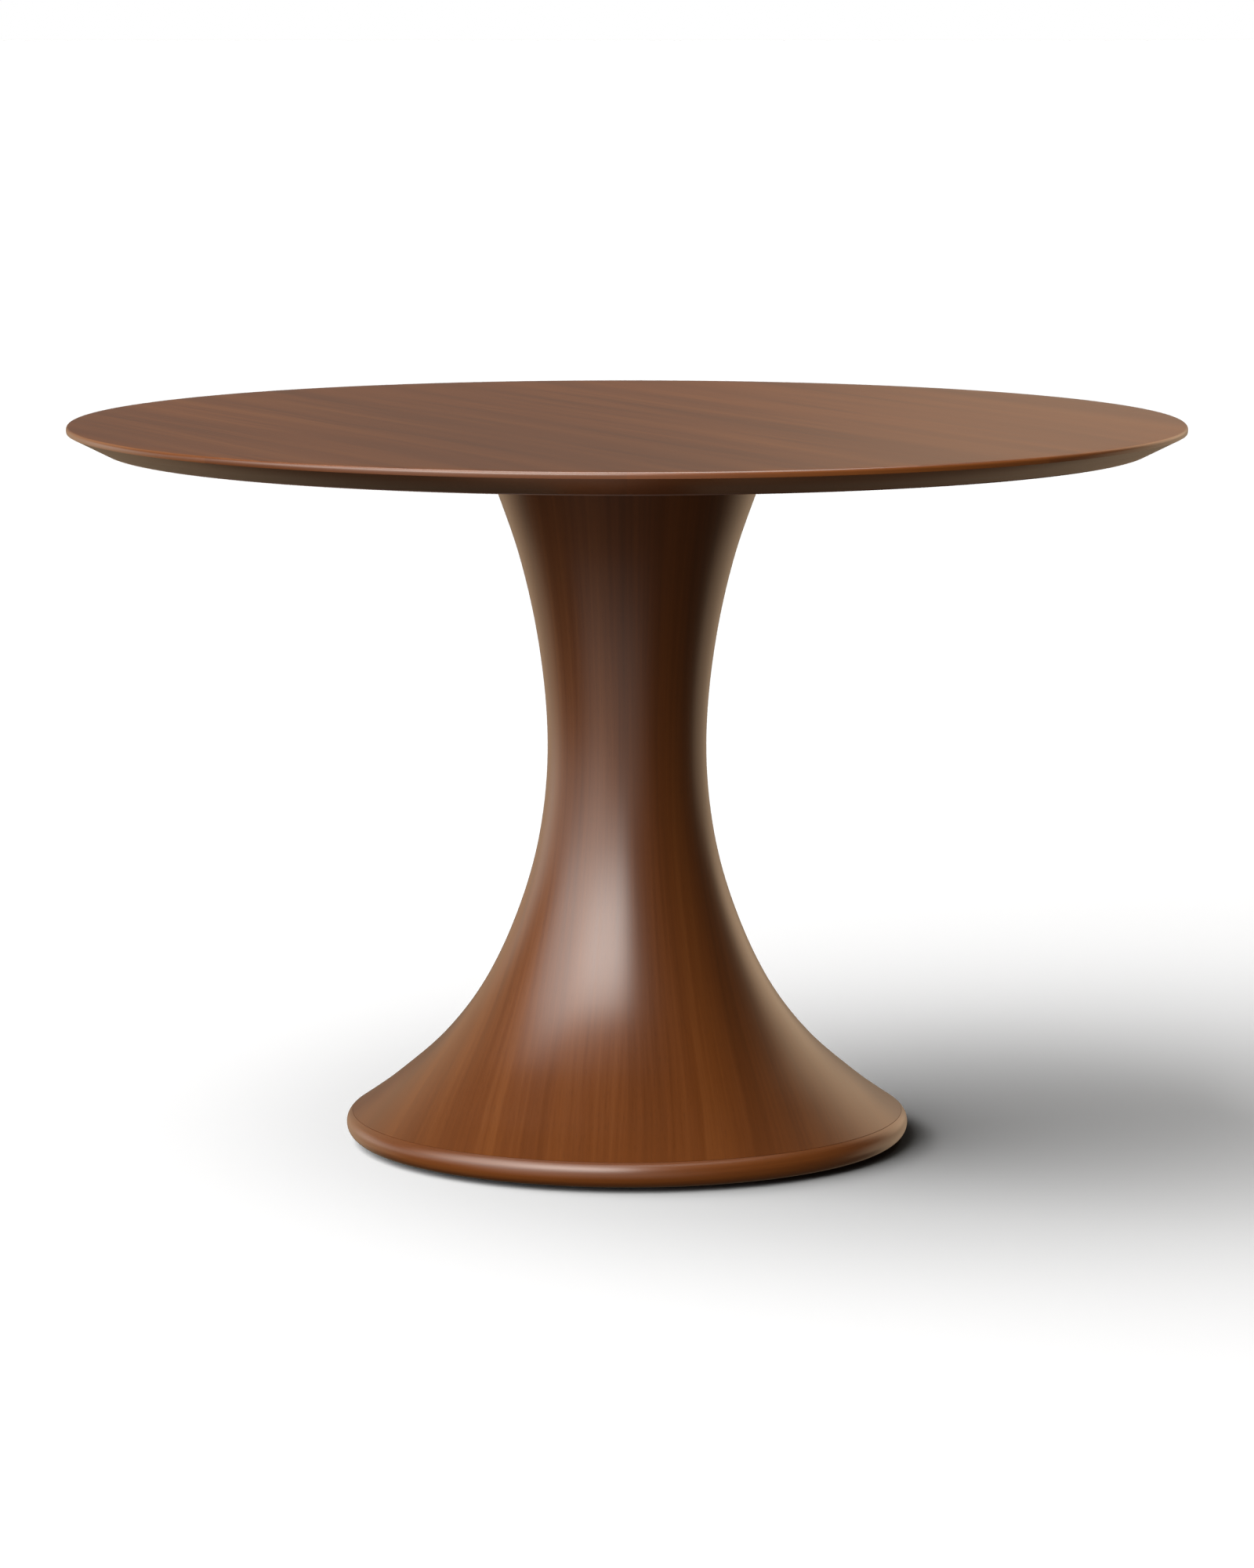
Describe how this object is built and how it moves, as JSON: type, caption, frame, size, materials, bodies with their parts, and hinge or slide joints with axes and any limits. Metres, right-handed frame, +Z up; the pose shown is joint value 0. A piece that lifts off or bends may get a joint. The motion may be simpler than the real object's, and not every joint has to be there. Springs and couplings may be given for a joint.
{
  "type": "round pedestal table",
  "caption": "Round table with a thin undercut top on a hollow trumpet-shaped pedestal, in walnut veneer, standing on screw feet under the base.",
  "frame": {"origin": "centre of the table's foot, on the floor", "axes": "+Z up along the pedestal's axis; the table is round, and +X and +Y point between pairs of screw feet"},
  "size_m": [1.17, 1.17, 0.762],
  "materials": {
    "walnut": "satin",
    "plywood": "matte",
    "fibreboard": "matte",
    "zinc_steel": "satin",
    "ballast_steel": "matte",
    "nylon": "matte"
  },
  "bodies": {
    "root": {"top_face_veneer": "walnut", "top_balance_veneer": "walnut", "edge_lipping_1": "walnut", "edge_lipping_2": "walnut", "edge_lipping_3": "walnut", "edge_lipping_4": "walnut", "edge_lipping_5": "walnut", "edge_lipping_6": "walnut", "edge_lipping_7": "walnut", "edge_lipping_8": "walnut", "pedestal_stave_1": "walnut", "pedestal_stave_2": "walnut", "pedestal_stave_3": "walnut", "pedestal_stave_4": "walnut", "pedestal_stave_5": "walnut", "pedestal_stave_6": "walnut", "pedestal_stave_7": "walnut", "pedestal_stave_8": "walnut", "base_ring": "walnut", "mounting_disc": "plywood", "neck_board": "plywood", "upper_rib": "plywood", "waist_rib": "plywood", "lower_rib": "plywood", "base_board": "plywood", "top_core_panel": "fibreboard", "threaded_insert_1": "zinc_steel", "threaded_insert_2": "zinc_steel", "threaded_insert_3": "zinc_steel", "threaded_insert_4": "zinc_steel", "threaded_insert_5": "zinc_steel", "threaded_insert_6": "zinc_steel", "top_bolt_1": "zinc_steel", "top_bolt_2": "zinc_steel", "top_bolt_3": "zinc_steel", "top_bolt_4": "zinc_steel", "top_bolt_5": "zinc_steel", "top_bolt_6": "zinc_steel", "tie_rod": "zinc_steel", "tie_nut_top": "zinc_steel", "tie_washer_top": "zinc_steel", "tie_nut_ballast": "zinc_steel", "tie_washer_ballast": "zinc_steel", "tie_nut_bottom": "zinc_steel", "tie_washer_bottom": "zinc_steel", "leveller_tnut_1": "zinc_steel", "leveller_tnut_2": "zinc_steel", "leveller_tnut_3": "zinc_steel", "leveller_tnut_4": "zinc_steel", "ballast_plate": "ballast_steel"},
    "foot_pad_1": {"leveller_pad_1": "nylon"},
    "foot_stem_1": {"leveller_stem_1": "zinc_steel"},
    "foot_pad_2": {"leveller_pad_2": "nylon"},
    "foot_stem_2": {"leveller_stem_2": "zinc_steel"},
    "foot_pad_3": {"leveller_pad_3": "nylon"},
    "foot_stem_3": {"leveller_stem_3": "zinc_steel"},
    "foot_pad_4": {"leveller_pad_4": "nylon"},
    "foot_stem_4": {"leveller_stem_4": "zinc_steel"}
  },
  "joints": [
    {"name": "foot_travel_1", "type": "slide", "parent": "root", "child": "foot_pad_1", "axis": [0, 0, -1], "range_m": [0, 0.008]},
    {"name": "foot_screw_1", "type": "hinge", "parent": "foot_pad_1", "child": "foot_stem_1", "pos_m": [0.16971, 0.16971, 0.02], "axis": [0, 0, -1], "range_deg": [0, 2300]},
    {"name": "foot_travel_2", "type": "slide", "parent": "root", "child": "foot_pad_2", "axis": [0, 0, -1], "range_m": [0, 0.008]},
    {"name": "foot_screw_2", "type": "hinge", "parent": "foot_pad_2", "child": "foot_stem_2", "pos_m": [-0.16971, 0.16971, 0.02], "axis": [0, 0, -1], "range_deg": [0, 2300]},
    {"name": "foot_travel_3", "type": "slide", "parent": "root", "child": "foot_pad_3", "axis": [0, 0, -1], "range_m": [0, 0.008]},
    {"name": "foot_screw_3", "type": "hinge", "parent": "foot_pad_3", "child": "foot_stem_3", "pos_m": [-0.16971, -0.16971, 0.02], "axis": [0, 0, -1], "range_deg": [0, 2300]},
    {"name": "foot_travel_4", "type": "slide", "parent": "root", "child": "foot_pad_4", "axis": [0, 0, -1], "range_m": [0, 0.008]},
    {"name": "foot_screw_4", "type": "hinge", "parent": "foot_pad_4", "child": "foot_stem_4", "pos_m": [0.16971, -0.16971, 0.02], "axis": [0, 0, -1], "range_deg": [0, 2300]}
  ],
  "couplings": [
    {"joint": "foot_travel_1", "follows": "foot_screw_1", "m_per_rad": 0.00019894},
    {"joint": "foot_travel_2", "follows": "foot_screw_2", "m_per_rad": 0.00019894},
    {"joint": "foot_travel_3", "follows": "foot_screw_3", "m_per_rad": 0.00019894},
    {"joint": "foot_travel_4", "follows": "foot_screw_4", "m_per_rad": 0.00019894}
  ]
}
